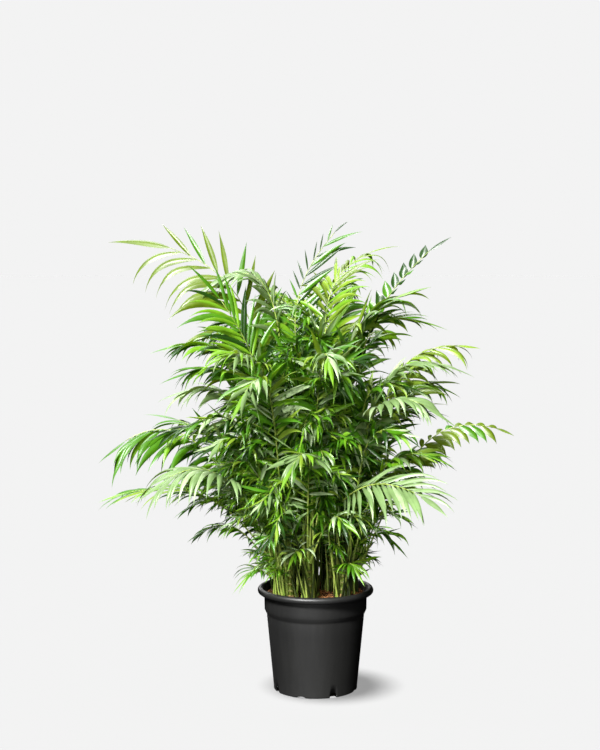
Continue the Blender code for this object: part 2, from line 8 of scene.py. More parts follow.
import bmesh
import bpy
import numpy as np
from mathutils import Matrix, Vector

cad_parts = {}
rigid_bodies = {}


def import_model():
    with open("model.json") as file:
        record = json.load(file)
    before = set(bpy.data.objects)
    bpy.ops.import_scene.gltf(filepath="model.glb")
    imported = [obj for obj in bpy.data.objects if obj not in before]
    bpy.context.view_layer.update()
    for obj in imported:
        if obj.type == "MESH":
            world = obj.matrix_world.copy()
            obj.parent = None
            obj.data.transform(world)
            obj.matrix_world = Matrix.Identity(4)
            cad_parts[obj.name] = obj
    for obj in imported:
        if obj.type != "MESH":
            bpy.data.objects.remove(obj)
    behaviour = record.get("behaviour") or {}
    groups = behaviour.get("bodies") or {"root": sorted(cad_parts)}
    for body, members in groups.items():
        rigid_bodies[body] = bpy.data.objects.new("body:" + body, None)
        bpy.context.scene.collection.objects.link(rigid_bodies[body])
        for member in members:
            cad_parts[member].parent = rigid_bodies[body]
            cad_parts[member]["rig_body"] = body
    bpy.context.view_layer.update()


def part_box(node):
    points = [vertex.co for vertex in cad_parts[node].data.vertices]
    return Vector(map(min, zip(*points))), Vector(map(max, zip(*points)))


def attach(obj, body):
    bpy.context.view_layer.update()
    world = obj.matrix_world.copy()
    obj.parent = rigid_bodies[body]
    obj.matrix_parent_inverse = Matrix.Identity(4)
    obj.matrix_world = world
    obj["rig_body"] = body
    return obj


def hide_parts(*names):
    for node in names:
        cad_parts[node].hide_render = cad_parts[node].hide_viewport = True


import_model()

# The plant as the part's source grows it. Metres and degrees, +Z up, seen from -Y.
SEAT_GAP = 0.0003
SOIL_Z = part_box("potting_mix")[1].z
Cane = namedtuple("Cane", "azimuth out height lean")
CANES = (
    Cane(-100, 0.064, 0.070, 4),
    Cane(-132, 0.066, 0.095, 6),
    Cane(-160, 0.064, 0.080, 8),
    Cane(168, 0.066, 0.090, 8),
    Cane(134, 0.062, 0.075, 7),
    Cane(100, 0.066, 0.095, 7),
    Cane(66, 0.062, 0.070, 7),
    Cane(32, 0.066, 0.090, 8),
    Cane(-4, 0.064, 0.075, 9),
    Cane(-38, 0.060, 0.060, 7),
    Cane(-105, 0.026, 0.130, 2),
    Cane(20, 0.026, 0.150, 3),
    Cane(145, 0.028, 0.140, 3),
)
Frond = namedtuple("Frond", "cane azimuth reach height droop leaf sweep roll", defaults=(0, 0))
FRONDS = (
    # left side, from the top down
    Frond(4, 155, 0.300, 0.800, -16, 0.145, roll=-45),
    Frond(2, 195, 0.175, 0.710, -55, 0.095, roll=-70),
    Frond(12, 165, 0.190, 0.738, 28, 0.110, roll=-15),
    Frond(3, 190, 0.238, 0.630, 5, 0.105),
    Frond(3, 196, 0.222, 0.585, 10, 0.110),
    Frond(4, 166, 0.240, 0.540, 12, 0.110),
    Frond(3, 179, 0.344, 0.452, 32, 0.125),
    Frond(2, 187, 0.336, 0.366, 8, 0.100),
    Frond(2, 207, 0.285, 0.405, 24, 0.125),
    Frond(2, 195, 0.205, 0.300, 25, 0.066),
    # top
    Frond(10, 62, 0.075, 0.828, -48, 0.092, -50, 25),
    Frond(11, 38, 0.122, 0.790, -20, 0.090),
    Frond(11, 8, 0.208, 0.795, -42, 0.058, roll=30),
    Frond(10, -130, 0.050, 0.700, -30, 0.120),
    # right side, from the top down
    Frond(8, -12, 0.145, 0.712, -28, 0.112),
    Frond(7, 11, 0.166, 0.672, 5, 0.105),
    Frond(8, 2, 0.256, 0.625, -2, 0.095, roll=15),
    Frond(9, -16, 0.230, 0.595, 10, 0.078),
    Frond(7, 10, 0.190, 0.515, -10, 0.085),
    Frond(8, -4, 0.325, 0.478, 14, 0.050, roll=50),
    Frond(9, -20, 0.210, 0.435, 12, 0.080),
    Frond(8, 15, 0.185, 0.360, 15, 0.080),
    # towards the viewer
    Frond(10, -50, 0.272, 0.385, 14, 0.112, roll=35),
    Frond(11, -33, 0.220, 0.530, 20, 0.115),
    Frond(1, -118, 0.255, 0.560, 38, 0.110),
    Frond(0, -100, 0.230, 0.440, 36, 0.095, -20),
    Frond(1, -128, 0.250, 0.620, 10, 0.115),
    Frond(0, -84, 0.195, 0.610, 24, 0.115),
    # low and small, over the rim
    Frond(2, -158, 0.126, 0.222, 40, 0.052),
    Frond(9, -55, 0.115, 0.242, 35, 0.055),
    Frond(9, -15, 0.115, 0.300, 10, 0.060),
    Frond(0, -108, 0.125, 0.270, 25, 0.065),
    # away from the viewer
    Frond(4, 130, 0.300, 0.640, 5, 0.125),
    Frond(4, 150, 0.300, 0.475, -15, 0.120),
    Frond(5, 105, 0.280, 0.700, -10, 0.120),
    Frond(5, 92, 0.310, 0.520, 18, 0.125),
    Frond(5, 112, 0.320, 0.380, 26, 0.115),
    Frond(6, 62, 0.285, 0.640, 0, 0.120),
    Frond(6, 74, 0.300, 0.420, 26, 0.115),
    Frond(7, 38, 0.285, 0.540, 12, 0.120),
    Frond(7, 32, 0.260, 0.410, 22, 0.105),
    Frond(12, 120, 0.150, 0.720, -20, 0.115),
    Frond(11, 70, 0.170, 0.740, -15, 0.115),
    Frond(12, 145, 0.200, 0.665, -5, 0.115),
    Frond(4, 165, 0.230, 0.330, 28, 0.080),
)
# Fronds that branch off another's petiole just above its foot, by that frond's number
TWINS = {
    1: Frond(4, 172, 0.190, 0.640, 10, 0.100, roll=20),
    2: Frond(2, 212, 0.170, 0.395, 20, 0.095),
    3: Frond(12, -178, 0.160, 0.520, 18, 0.095),
    4: Frond(3, 205, 0.225, 0.500, 15, 0.110),
    5: Frond(3, 218, 0.215, 0.465, 22, 0.105),
    6: Frond(4, 158, 0.210, 0.385, 15, 0.090),
    7: Frond(3, 194, 0.255, 0.480, 12, 0.110),
    8: Frond(2, 176, 0.225, 0.365, 18, 0.090),
    9: Frond(2, 232, 0.148, 0.290, 30, 0.068),
    11: Frond(10, -120, 0.120, 0.400, 25, 0.080),
    12: Frond(11, -70, 0.120, 0.560, 15, 0.095),
    13: Frond(11, -30, 0.110, 0.430, 22, 0.085),
    14: Frond(10, -82, 0.125, 0.370, 28, 0.080),
    15: Frond(8, -25, 0.170, 0.560, 12, 0.095),
    16: Frond(7, 40, 0.160, 0.430, 20, 0.085),
    17: Frond(8, 20, 0.215, 0.500, 5, 0.090),
    18: Frond(9, -40, 0.190, 0.480, 18, 0.090),
    20: Frond(8, -16, 0.150, 0.325, 22, 0.075),
    21: Frond(9, -62, 0.155, 0.330, 30, 0.075),
    22: Frond(8, -8, 0.165, 0.400, 15, 0.080),
    23: Frond(11, -82, 0.100, 0.395, 25, 0.080),
    24: Frond(11, -100, 0.110, 0.470, 22, 0.085),
    25: Frond(1, -145, 0.190, 0.420, 25, 0.090),
    26: Frond(0, -75, 0.175, 0.330, 35, 0.080),
    27: Frond(1, -112, 0.185, 0.330, 35, 0.080),
    28: Frond(0, -120, 0.165, 0.300, 35, 0.075),
    33: Frond(4, 118, 0.200, 0.420, 20, 0.095),
    35: Frond(5, 84, 0.190, 0.440, 20, 0.095),
    38: Frond(6, 48, 0.200, 0.460, 18, 0.095),
    40: Frond(7, 52, 0.190, 0.330, 28, 0.080),
}
CANE_RADIUS = (0.0046, 0.0039)
PETIOLE_SHARE = 0.30
RIB_HALF = (0.0017, 0.0011)  # the source's rib, at the foot and at the tip
RIB_HANDLES = (0.54, 0.40)
LEAN_SHARE = 0.5
SHEATH_STEP = 0.013
FORK_HEIGHT = 0.010
FORK_OUT = 0.0045
LEAF_ANGLE = (62, 26)
LEAF_SAG = 1.1
LEAF_FULLEST = 0.40
LEAF_MIDDLE = 0.45
TWIN_SEED = 100

# The finer plant that is drawn here
LEAF_RISE, LEAF_FALL = 0.78, 1.35  # powers of a leaflet's outline before and behind its broadest place
LEAF_ROOT = 0.012  # keeps a little width at the root
LEAF_CROWDING = 1.15  # how much closer together the rows of points are near the root


def leaf_grid(rows, columns):
    """Where a leaflet's rows of points lie along it, its share of the full width there, and its columns."""
    places = np.linspace(0, 1, rows + 1)[:-1] ** LEAF_CROWDING
    outline = (places + LEAF_ROOT) ** LEAF_RISE * (1 - places) ** LEAF_FALL
    return places, outline / outline.max(), np.linspace(-1, 1, columns)


FINE_LEAF = leaf_grid(11, 5)
SMALL_LEAF = leaf_grid(7, 3)

# How the leaflets on one hand of a rib differ: length over the source's, degrees of lift, and droop
Side = namedtuple("Side", "length lift sag")
# A frond's leaflets: width over length, pitch over the longest, how much each strays from the rule, degrees
# of turn towards the foot, each hand, the first pair and the last leaflet over the rest, and the points' grid
Style = namedtuple("Style", "width pitch stray turn left right first last grid")
PLAIN_STYLE = Style(0.095, 0.14, 1.2, 0, None, None, 1, 1, FINE_LEAF)


def style(*start, left=None, right=None, length=1.0, lift=4, sag=1.1, **rest):
    """A style from its first few values, what both hands share, what one hand has apart, and the rest."""
    side = Side(length, lift, sag)
    hands = {"left": side._replace(**left or {}), "right": side._replace(**right or {})}
    return PLAIN_STYLE._replace(**hands, **rest, **dict(zip(Style._fields, start)))


PLAIN = style(0.135, 0.112, 1.5, length=0.84, sag=1.3)
SHOOT = style(0.100, 0.110, 2.2, length=0.92, sag=1.3, grid=SMALL_LEAF)  # the fine fronds on young stems
INNER = style(0.110, 0.100, 2.3, length=0.76, sag=1.4)  # the fronds inside the crown
BROAD = style(0.130, 0.130, 1.2, last=0.8, length=0.92, sag=1.3)
TOWARDS = style(0.110, 0.100, 1.9, length=0.78)  # fronds that come towards the viewer
STYLES = {
    1: style(0.110, 0.250, 0.5, length=1.15, sag=2.0, right={"length": 0.75, "lift": 38, "sag": 0.1}),
    2: style(0.080, 0.140, 0.6, length=1.10),
    3: style(0.120, 0.150, 1.0, sag=1.6, length=0.80),
    4: BROAD,
    5: style(0.115, 0.125, 1.2, last=0.8, length=0.95, sag=1.3),
    6: BROAD,
    7: style(0.095, 0.150, 1.2, 14, last=0.6, length=1.05, lift=-28, sag=1.5),
    8: style(0.120, 0.180, 0.7, -6, last=0.7, lift=10, sag=0.7),
    9: style(0.100, 0.125, 0.5, last=0.7, length=1.05, sag=1.6),
    10: style(0.120, 0.130, 0.9, last=0.8, length=0.90),
    11: style(0.090, 0.250, 0.8, sag=0.4, left={"length": 0.45}),
    12: style(0.080, 0.180, 0.8, length=1.15, sag=1.5),
    13: style(0.520, 0.420, 0.3, 8, last=1.6, length=0.62, lift=25, sag=0.3, right={"length": 0.4}),
    14: style(0.120, 0.105, 1.3, length=0.75, sag=1.5),
    15: style(0.140, 0.150, 1.1, -6, last=0.7, sag=1.9, length=1.05),
    16: style(0.150, 0.160, 1.0, sag=0.7),
    17: style(0.125, 0.170, 0.9, 6, last=0.7, lift=-10, sag=2.2, left={"length": 0.8}),
    18: style(0.140, 0.160, 1.0, sag=0.9),
    20: style(0.300, 0.480, 0.3, first=1.6, last=1.4, sag=1.4, length=1.15, left={"length": 0.6}),
    23: style(0.090, 0.125, 0.65, last=0.8, sag=0.7, length=0.94),
    24: style(0.150, 0.120, 0.8, sag=1.6, length=0.82),
    25: TOWARDS,
    26: style(0.115, 0.105, 1.6, length=0.80),
    27: TOWARDS,
    28: TOWARDS,
    29: style(0.110, 0.130, 0.7, length=1.20),
    30: style(0.130, 0.130, 0.7),
}
LEAF_TAPER = (0.35, 0.18)  # how much shorter the leaflets at the blade's foot and at its tip are
LEAF_LEAST_SAG = 0.35  # how level a rib counts as at least, when its leaflets droop
LEAF_FOLD = 0.44  # how far the halves fall away from the midrib, over their width
LEAF_FOLD_POWER = 1.3  # how much of that fall is near the edge
LEAF_BEND = 0.62  # where along its length a leaflet's line turns down
WAVE_TURN = 9  # radians of wave along a leaflet's edge
WAVE_SHIFT = 40  # how far a wave of other height starts along it
# Ends between which chance picks, for one unit of a style's stray
STRAY_LENGTH = (-0.18, 0.06)
STRAY_SAG = (-0.5, 0.5)
STRAY_ANGLE = (-12, 8)  # degrees from the rib
STRAY_LIFT = (-17, 17)  # degrees
STRAY_TWIST = (-1, 1)  # radians from root to tip
# and for any style
WIDTH_SPREAD = (0.88, 1.14)
WAVE_SPREAD = (0, 0.16)
RIB_RADIUS = (0.0019, 0.0005)
RIB_TAPER = 0.8  # the power of the place along a rib at which it thins
RIB_SIDES = 7
RIB_ROWS = 28
RIB_CROWDING = 1.5  # how much closer together the rows are near the foot
RIB_STEPS = 20  # that its length is measured in
UPRIGHT = 0.02  # a tip less far out than this from its foot gives no direction of its own
SHEATH_RADIUS = 0.0014  # what a petiole swells by at its foot
SHEATH_LENGTH = 0.014
PAIRS_LEAST = 5
PAIR_START = 0.3  # of a pitch, from the blade's foot to the first pair
PAIR_OFFSET = 0.2  # of a pitch, that the two leaflets of a pair stand apart along the rib
BLADE_END = 0.985  # where on the rib the last pair's pitch ends
LEAF_LAST_PLACE = 0.995


def heading(azimuth):
    return Vector((math.cos(math.radians(azimuth)), math.sin(math.radians(azimuth)), 0))


def mix(ends, share):
    return ends[0] + (ends[1] - ends[0]) * share


def srgb(red, green, blue):
    """A colour as seen on a screen, 0 to 255, as the linear one that a shader takes."""
    parts = [part / 255 for part in (red, green, blue)]
    return tuple(p / 12.92 if p <= 0.04045 else ((p + 0.055) / 1.055) ** 2.4 for p in parts)


class Nodes:
    """A material's node tree, with short calls for the nodes used here."""

    def __init__(self, name, roughness=0.5, specular=0.5):
        self.material = bpy.data.materials.new(name)
        self.material.use_nodes = True
        self.tree = self.material.node_tree
        self.shader = self.tree.nodes["Principled BSDF"]
        self.output = self.tree.nodes["Material Output"]
        self.shader.inputs["Roughness"].default_value = roughness
        self.shader.inputs["Specular IOR Level"].default_value = specular

    def add(self, kind, links=None, **settings):
        node = self.tree.nodes.new("ShaderNode" + kind)
        for key, value in settings.items():
            setattr(node, key, value)
        for key, value in (links or {}).items():
            if isinstance(value, bpy.types.NodeSocket):
                self.tree.links.new(value, node.inputs[key])
            else:
                node.inputs[key].default_value = value
        return node

    def place(self, stretch=(1, 1, 1), source="Object"):
        coordinates = self.add("TexCoord").outputs[source]
        return self.add("Mapping", {"Vector": coordinates, "Scale": stretch}).outputs[0]

    def noise(self, vector, scale=1.0, detail=3):
        return self.add("TexNoise", {"Vector": vector, "Scale": scale, "Detail": detail}).outputs[0]

    def ramp(self, factor, stops):
        node = self.add("ValToRGB", {"Fac": factor})
        elements = node.color_ramp.elements
        while len(elements) < len(stops):
            elements.new(0.5)
        for element, (position, colour) in zip(elements, stops):
            element.position = position
            element.color = (*colour, 1)
        return node.outputs[0]

    def span(self, factor, low, high):
        return self.add("MapRange", {"Value": factor, "To Min": low, "To Max": high}).outputs[0]

    def bump(self, height, distance, strength=1.0):
        node = self.add("Bump", {"Height": height, "Distance": distance, "Strength": strength})
        self.link(node.outputs[0], "Normal")

    def link(self, socket, name):
        self.tree.links.new(socket, self.shader.inputs[name])


def varied(colour, low, high):
    """The same colour darker and lighter, as the ends of a ramp."""
    return [(0.3, tuple(c * low for c in colour)), (0.7, tuple(c * high for c in colour))]


def leaf_material(name, colour, glow):
    """Waxy leaf: a little darker and lighter by patches, parallel veins, and light through the blade."""
    nodes = Nodes(name, roughness=0.40, specular=0.65)
    patches = nodes.noise(nodes.place(), scale=45)
    nodes.link(nodes.ramp(patches, varied(colour, 0.82, 1.18)), "Base Color")
    veins = nodes.add("TexWave", {"Vector": nodes.place(source="UV"), "Scale": 3.2, "Distortion": 0.4})
    nodes.bump(veins.outputs[1], distance=0.00012, strength=0.3)
    through = nodes.add("BsdfTranslucent", {"Color": (*glow, 1)})
    both = nodes.add("MixShader", {"Fac": 0.25, 1: nodes.shader.outputs[0], 2: through.outputs[0]})
    nodes.tree.links.new(both.outputs[0], nodes.output.inputs[0])
    return nodes.material


def stem_material(name, colour, pale):
    """Smooth green stem with long pale streaks."""
    nodes = Nodes(name, roughness=0.45)
    streaks = nodes.noise(nodes.place(stretch=(260, 260, 14)))
    nodes.link(nodes.ramp(streaks, [(0.35, colour), (0.7, pale)]), "Base Color")
    nodes.bump(streaks, distance=0.0002, strength=0.5)
    return nodes.material


def bark_material(name, dark, light):
    """Dull and fibrous, with the fibres upright."""
    nodes = Nodes(name, roughness=0.85)
    fibres = nodes.noise(nodes.place(stretch=(500, 500, 60)), detail=5)
    nodes.link(nodes.ramp(fibres, [(0.3, dark), (0.7, light)]), "Base Color")
    nodes.bump(fibres, distance=0.0006, strength=0.8)
    return nodes.material


def plastic_material():
    """Charcoal moulded plastic: fine grain, faint flow marks down the wall, a dusty bloom in patches."""
    nodes = Nodes("black_plastic", specular=0.45)
    clouds = nodes.noise(nodes.place(stretch=(9, 9, 5)), detail=4)
    nodes.link(nodes.ramp(clouds, [(0.3, srgb(14, 14, 14)), (0.72, srgb(21, 21, 20))]), "Base Color")
    flow = nodes.noise(nodes.place(stretch=(160, 160, 6)))
    nodes.link(nodes.span(flow, low=0.40, high=0.56), "Roughness")
    grain = nodes.noise(nodes.place(), scale=1800, detail=2)
    both = nodes.add("Math", {0: grain, 1: flow}, operation="ADD")
    nodes.bump(both.outputs[0], distance=0.00012, strength=0.5)
    return nodes.material


def mix_material():
    """Damp coir, crumbly and brown."""
    nodes = Nodes("potting_mix_base", roughness=0.95, specular=0.2)
    crumbs = nodes.noise(nodes.place(), scale=420, detail=6)
    stops = [(0.30, srgb(20, 11, 5)), (0.50, srgb(60, 34, 14)), (0.72, srgb(116, 72, 32))]
    nodes.link(nodes.ramp(crumbs, stops), "Base Color")
    nodes.bump(crumbs, distance=0.0015)
    return nodes.material


def floor_material():
    """Pale studio floor: some of its brightness is its own, so that shadows on it stay soft."""
    nodes = Nodes("studio_floor", roughness=0.9, specular=0.0)
    nodes.shader.inputs["Base Color"].default_value = (FLOOR_ALBEDO,) * 3 + (1,)
    nodes.shader.inputs["Emission Color"].default_value = (1, 1, 1, 1)
    lit = ROOM_LIGHT + SIDE.strength * math.cos(math.radians(SIDE.turn[0])) / math.pi
    nodes.shader.inputs["Emission Strength"].default_value = BACKDROP - FLOOR_ALBEDO * lit
    return nodes.material


def backdrop_material():
    nodes = Nodes("studio_backdrop", roughness=1.0, specular=0.0)
    nodes.shader.inputs["Base Color"].default_value = (0, 0, 0, 1)
    nodes.shader.inputs["Emission Color"].default_value = (1, 1, 1, 1)
    nodes.shader.inputs["Emission Strength"].default_value = BACKDROP
    return nodes.material


ASKEW = (0.31, 0.17, 0.93)  # a direction that no tube runs along, which its rings are turned by


class Skin:
    """Points and faces of one joined piece, added strip by strip, with a material number for each face."""

    def __init__(self):
        self.points, self.faces, self.shades, self.places = [], [], [], []
        self.count = 0

    def grid(self, rows, shade=0, closed=False, start=None, end=None):
        """A strip through rows of points, closed round if asked, drawn to a point at an end if given."""
        rows = np.asarray(rows, float)
        count, wide = rows.shape[:2]
        index = self.count + np.arange(count * wide).reshape(count, wide)
        across = np.linspace(0, 1, wide)
        for i, row in enumerate(rows):
            self.points.append(row)
            self.places.append(np.column_stack((across, np.full(wide, i / (count - 1)))))
        self.count += count * wide
        after = np.roll(index, -1, axis=1)
        used = wide if closed else wide - 1
        quads = np.stack((index[:-1], after[:-1], after[1:], index[1:]), -1)[:, :used].reshape(-1, 4)
        self.faces += quads.tolist()
        made = len(quads)
        for tip, row, turn in ((start, 0, -1), (end, -1, 1)):
            if tip is None:
                continue
            self.points.append(np.asarray(tip, float).reshape(1, 3))
            self.places.append(np.array([[0.5, 0.0 if row == 0 else 1.0]]))
            for k in range(used):
                pair = (int(index[row, k]), int(after[row, k]))[::turn]
                self.faces.append([*pair, self.count])
            made += used
            self.count += 1
        self.shades += [shade] * made

    def tube(self, centres, radii, sides, shade=0):
        """A round tube along centres, with its ends drawn shut."""
        centres = np.asarray(centres, float)
        tangents = np.gradient(centres, axis=0)
        tangents /= np.linalg.norm(tangents, axis=1)[:, None]
        side = np.cross(tangents, ASKEW)
        side /= np.linalg.norm(side, axis=1)[:, None]
        up = np.cross(tangents, side)
        turns = np.arange(sides) / sides * math.tau
        ring = side[:, None] * np.cos(turns)[None, :, None] + up[:, None] * np.sin(turns)[None, :, None]
        rows = centres[:, None] + ring * np.asarray(radii, float).reshape(-1, 1, 1)
        self.grid(rows, shade, closed=True, start=centres[0], end=centres[-1])

    def piece(self, name, materials, slot, nodes=()):
        """One object of all that was added, riding on the part's body in place of the CAD nodes named."""
        mesh = bpy.data.meshes.new(name)
        mesh.from_pydata(np.concatenate(self.points).tolist(), [], self.faces)
        for material in materials:
            mesh.materials.append(material)
        mesh.polygons.foreach_set("material_index", self.shades)
        mesh.polygons.foreach_set("use_smooth", [True] * len(self.faces))
        places = np.concatenate(self.places)
        loops = np.zeros(len(mesh.loops), np.int32)
        mesh.loops.foreach_get("vertex_index", loops)
        mesh.uv_layers.new(name="UVMap").data.foreach_set("uv", places[loops].ravel())
        mesh.update()
        obj = bpy.data.objects.new(name, mesh)
        bpy.context.scene.collection.objects.link(obj)
        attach(obj, "root")
        if nodes:
            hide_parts(*nodes)
        return obj


def cane_centre(cane, height):
    outwards = cane.out + math.tan(math.radians(cane.lean)) * height
    return heading(cane.azimuth) * outwards + Vector((0, 0, SOIL_Z + SEAT_GAP + height))


def cane_radius(cane, height):
    return mix(CANE_RADIUS, height / cane.height)


def frond_tip(frond):
    return heading(frond.azimuth) * frond.reach + Vector((0, 0, frond.height))


def spread(frond):
    """How far a frond's tip is from straight above the top of its cane, as an angle in radians."""
    cane = CANES[frond.cane]
    return (frond_tip(frond) - cane_centre(cane, cane.height)).angle(Vector((0, 0, 1)))


def frond_foot(frond):
    """The most upright frond stands on its cane's top, the others lower down its sides."""
    cane = CANES[frond.cane]
    rank = sorted(spread(f) for f in FRONDS if f.cane == frond.cane).index(spread(frond))
    height = cane.height - rank * SHEATH_STEP
    lean = spread(frond) * LEAN_SHARE
    if rank == 0:
        return cane_centre(cane, height) + Vector((0, 0, SEAT_GAP + RIB_HALF[0] * math.sin(lean)))
    level = (frond_tip(frond) - cane_centre(cane, height)) * Vector((1, 1, 0))
    clear = cane_radius(cane, height) + SEAT_GAP + RIB_HALF[0] * math.cos(lean)
    return cane_centre(cane, height) + level.normalized() * clear


class Rib:
    """A frond's curved line, with its sideways and upwards directions, as in the part's source."""

    def __init__(self, frond, foot, lean):
        self.frond, self.foot, self.tip = frond, foot, frond_tip(frond)
        level = (self.tip - foot) * Vector((1, 1, 0))
        self.level = level.normalized() if level.length > UPRIGHT else heading(frond.azimuth)
        chord = (self.tip - foot).length
        droop = math.radians(frond.droop)
        start = self.level * math.sin(lean) + Vector((0, 0, math.cos(lean)))
        end = heading(frond.azimuth + frond.sweep) * math.cos(droop) - Vector((0, 0, math.sin(droop)))
        self.near = foot + start * chord * RIB_HANDLES[0]
        self.far = self.tip - end * chord * RIB_HANDLES[1]
        steps = [self.point(i / RIB_STEPS) for i in range(RIB_STEPS + 1)]
        self.length = sum((b - a).length for a, b in zip(steps, steps[1:]))

    def fork(self, frond):
        """Where a twin's petiole leaves this one."""
        t = FORK_HEIGHT / self.length
        side = self.axes(t)[1]
        hand = 1 if (frond_tip(frond) - self.foot).dot(side) > 0 else -1
        return self.point(t) + side * hand * FORK_OUT

    def point(self, t):
        u = 1 - t
        return self.foot * u**3 + self.near * (3 * u * u * t) + self.far * (3 * u * t * t) + self.tip * t**3

    def axes(self, t):
        """Tangent, side and upper normal, with the frond's roll wound in over the bare petiole."""
        u = 1 - t
        ahead = (self.near - self.foot) * (u * u) + (self.far - self.near) * (2 * u * t)
        tangent = (ahead + (self.tip - self.far) * (t * t)).normalized()
        across = Vector((-self.level.y, self.level.x, 0))
        side = (across - tangent * across.dot(tangent)).normalized()
        normal = tangent.cross(side)
        turn = math.radians(self.frond.roll) * min(1, t / PETIOLE_SHARE)
        cos, sin = math.cos(turn), math.sin(turn)
        return tangent, side * cos + normal * sin, normal * cos - side * sin


def leaf_share(along):
    """A leaflet's length as a share of the frond's longest, by its place along the blade."""
    if along < LEAF_FULLEST:
        return 1 - LEAF_TAPER[0] * (1 - along / LEAF_FULLEST) ** 2
    return 1 - LEAF_TAPER[1] * ((along - LEAF_FULLEST) / (1 - LEAF_FULLEST)) ** 2


def add_leaflet(skin, grid, line, across, half, twist, wave, shade):
    """A lance-shaped blade along a bent line, its halves falling away from the midrib, its edge waved."""
    root, bend, tip = (np.array(p) for p in line)
    places, outline, columns = grid
    s = places[:, None]
    centres = root * (1 - s) ** 2 + bend * (2 * s * (1 - s)) + tip * s**2
    tangents = (bend - root) * (1 - s) + (tip - bend) * s
    tangents /= np.linalg.norm(tangents, axis=1)[:, None]
    side = np.array(across) - tangents * (tangents @ np.array(across))[:, None]
    side /= np.linalg.norm(side, axis=1)[:, None]
    normal = np.cross(tangents, side)
    normal *= np.sign(normal[0, 2] or 1)
    turn = twist * s
    side, normal = side * np.cos(turn) + normal * np.sin(turn), normal * np.cos(turn) - side * np.sin(turn)
    width = (half * outline)[:, None, None]
    ripple = wave * np.sin(places * WAVE_TURN + wave * WAVE_SHIFT)[:, None, None]
    spread_out = columns[None, :, None]
    fall = np.abs(spread_out) ** LEAF_FOLD_POWER * LEAF_FOLD + ripple * spread_out
    rows = centres[:, None] + side[:, None] * width * spread_out - normal[:, None] * width * fall
    skin.grid(rows, shade, end=tip)


def grow_leaflet(skin, rib, t, along, hand, chance, style, shade):
    """One leaflet of a pair, at t on its rib and at its own place along the blade."""
    tangent, side, normal = rib.axes(t)
    stray = style.stray
    own = style.left if hand > 0 else style.right
    length = rib.frond.leaf * leaf_share(along) * own.length * (1 + stray * chance.uniform(*STRAY_LENGTH))
    length *= style.first if along == 0 else 1
    sag = LEAF_SAG * own.sag * (1 + stray * chance.uniform(*STRAY_SAG))
    angle = math.radians(mix(LEAF_ANGLE, along) + style.turn + stray * chance.uniform(*STRAY_ANGLE))
    lift = math.radians(own.lift + stray * chance.uniform(*STRAY_LIFT))
    out = side * hand * math.cos(lift) + normal * math.sin(lift)
    ahead = tangent * math.cos(angle) + out * math.sin(angle)
    level = max(LEAF_LEAST_SAG, math.sqrt(1 - tangent.z**2))
    outer = (ahead - Vector((0, 0, sag * level))).normalized()
    root = rib.point(t) + side * hand * mix(RIB_RADIUS, t) * 0.5
    middle = root + ahead * length * LEAF_MIDDLE
    tip = middle + outer * length * (1 - LEAF_MIDDLE)
    bend = root + ahead * length * LEAF_BEND
    across = (tangent - ahead * tangent.dot(ahead)).normalized()
    half = length * style.width * chance.uniform(*WIDTH_SPREAD) / 2
    twist = stray * chance.uniform(*STRAY_TWIST)
    wave = chance.uniform(*WAVE_SPREAD)
    add_leaflet(skin, style.grid, (root, bend, tip), across, half, twist, wave, shade)


def grow_frond(skins, rib, style, seed, shades, bare=PETIOLE_SHARE, sheath=SHEATH_RADIUS, stem_shade=0):
    """A rib that swells into its sheath at the foot, and leaflets in pairs past its bare share."""
    chance = random.Random(seed)
    leaves, stems = skins
    places = [(i / RIB_ROWS) ** RIB_CROWDING for i in range(RIB_ROWS + 1)]
    swelling = [sheath * math.exp(-t * rib.length / SHEATH_LENGTH) for t in places]
    radii = [mix(RIB_RADIUS, t**RIB_TAPER) + swell for t, swell in zip(places, swelling)]
    stems.tube([rib.point(t) for t in places], radii, RIB_SIDES, stem_shade)
    pairs = max(PAIRS_LEAST, round(rib.length * (1 - bare) / (rib.frond.leaf * style.pitch)))
    for i in range(pairs):
        t = mix((bare, BLADE_END), (i + PAIR_START) / pairs)
        for hand in (1, -1):
            shade = shades[int(chance.random() * len(shades))]
            place = min(t + hand * PAIR_OFFSET / pairs, LEAF_LAST_PLACE)
            grow_leaflet(leaves, rib, place, i / (pairs - 1), hand, chance, style, shade)
    grow_last_leaflet(leaves, rib, style, shades[0])


def grow_last_leaflet(skin, rib, style, shade):
    """The leaflet that the rib runs out into."""
    tangent, side, _ = rib.axes(1)
    length = rib.frond.leaf * leaf_share(1) * style.left.length * style.last
    bend = rib.tip + tangent * length / 2
    outer = (tangent - Vector((0, 0, LEAF_SAG / 3))).normalized()
    tip = rib.tip + tangent * length * LEAF_MIDDLE + outer * length * (1 - LEAF_MIDDLE)
    half = length * style.width / style.last**2 / 2
    add_leaflet(skin, style.grid, (rib.tip, bend, tip), side, half, 0, 0, shade)


# Greens, from the shaded inside of the crown to leaves that the light comes through. The deep green is
# painted shade and the dark one partly so; the mint and pale ones are painted sheen.
GREENS = (
    ("leaf_deep", srgb(22, 54, 3)),
    ("leaf_dark", srgb(56, 102, 5)),
    ("leaf_mid", srgb(92, 134, 22)),
    ("leaf_fresh", srgb(106, 132, 36)),
    ("leaf_bright", srgb(78, 98, 10)),
    ("leaf_mint", srgb(98, 122, 74)),
    ("leaf_pale", srgb(134, 154, 112)),
)
GLOW_GAIN = (1.6, 1.5, 0.5)  # the colour of the light through a leaf, over the leaf's own
GLOW_LIFT = (0.02, 0.04, 0)
